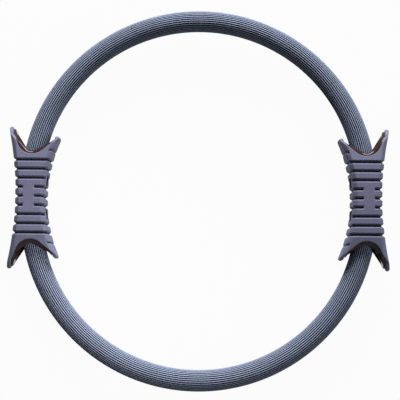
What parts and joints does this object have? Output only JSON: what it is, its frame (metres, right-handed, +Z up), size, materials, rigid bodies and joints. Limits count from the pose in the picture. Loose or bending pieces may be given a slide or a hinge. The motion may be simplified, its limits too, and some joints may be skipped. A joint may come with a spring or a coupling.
{
  "type": "pilates ring",
  "caption": "Springy pilates ring: a fluted foam-covered hoop with a ribbed, flared padded handle on each side, squeezed or spread for resistance exercise.",
  "frame": {"origin": "middle of the ring on the surface that it lies on", "axes": "+Z up out of the ring's plane, +X across the handles to the right handle, +Y along the handles to the upper half hoop; the ring lies flat on the backs of its two handles"},
  "size_m": [0.3814, 0.3828, 0.036],
  "materials": {
    "foam": null,
    "fibreglass": "pultruded glass-fibre rod",
    "grip": "matte soft moulded rubbery skin",
    "liner": "glossy dark-brown moulded plastic",
    "ferrule_steel": "zinc-plated drawn tube",
    "bolt_steel": "black-oxide steel"
  },
  "bodies": {
    "left_handle": {"left_grip": "grip", "left_outer_liner": "liner", "left_inner_liner": "liner", "left_upper_bolt": "bolt_steel", "left_upper_nut": "bolt_steel", "left_lower_bolt": "bolt_steel", "left_lower_nut": "bolt_steel", "upper_left_ferrule": "ferrule_steel", "lower_left_ferrule": "ferrule_steel"},
    "right_handle": {"right_grip": "grip", "right_outer_liner": "liner", "right_inner_liner": "liner", "right_upper_bolt": "bolt_steel", "right_upper_nut": "bolt_steel", "right_lower_bolt": "bolt_steel", "right_lower_nut": "bolt_steel"},
    "upper_hoop": {"upper_sleeve": "foam", "upper_outer_rod": "fibreglass", "upper_front_rod": "fibreglass", "upper_back_rod": "fibreglass"},
    "lower_hoop": {"lower_sleeve": "foam", "lower_outer_rod": "fibreglass", "lower_front_rod": "fibreglass", "lower_back_rod": "fibreglass"},
    "upper_right_end": {"upper_right_ferrule": "ferrule_steel"},
    "lower_right_end": {"lower_right_ferrule": "ferrule_steel"}
  },
  "joints": [
    {"name": "squeeze", "type": "slide", "parent": "left_handle", "child": "right_handle", "axis": [-1, 0, 0], "range_m": [-0.03, 0.06], "stiffness_N_per_m": 1800},
    {"name": "upper_hoop_flex", "type": "slide", "parent": "left_handle", "child": "upper_hoop", "axis": [-0.7359, 0.6771, 0], "range_m": [-0.02088, 0.04127], "deforming": ["upper_sleeve", "upper_outer_rod", "upper_front_rod", "upper_back_rod"]},
    {"name": "upper_right_clamp", "type": "slide", "parent": "upper_hoop", "child": "upper_right_end", "axis": [-0.7359, -0.6771, 0], "range_m": [-0.02088, 0.04127]},
    {"name": "lower_hoop_flex", "type": "slide", "parent": "left_handle", "child": "lower_hoop", "axis": [-0.7359, -0.6771, 0], "range_m": [-0.02088, 0.04127], "deforming": ["lower_sleeve", "lower_outer_rod", "lower_front_rod", "lower_back_rod"]},
    {"name": "lower_right_clamp", "type": "slide", "parent": "lower_hoop", "child": "lower_right_end", "axis": [-0.7359, 0.6771, 0], "range_m": [-0.02088, 0.04127]}
  ],
  "couplings": [
    {"joint": "upper_hoop_flex", "follows": "squeeze", "ratio": 0.67941},
    {"joint": "upper_right_clamp", "follows": "squeeze", "ratio": 0.67941},
    {"joint": "lower_hoop_flex", "follows": "squeeze", "ratio": 0.67941},
    {"joint": "lower_right_clamp", "follows": "squeeze", "ratio": 0.67941}
  ]
}
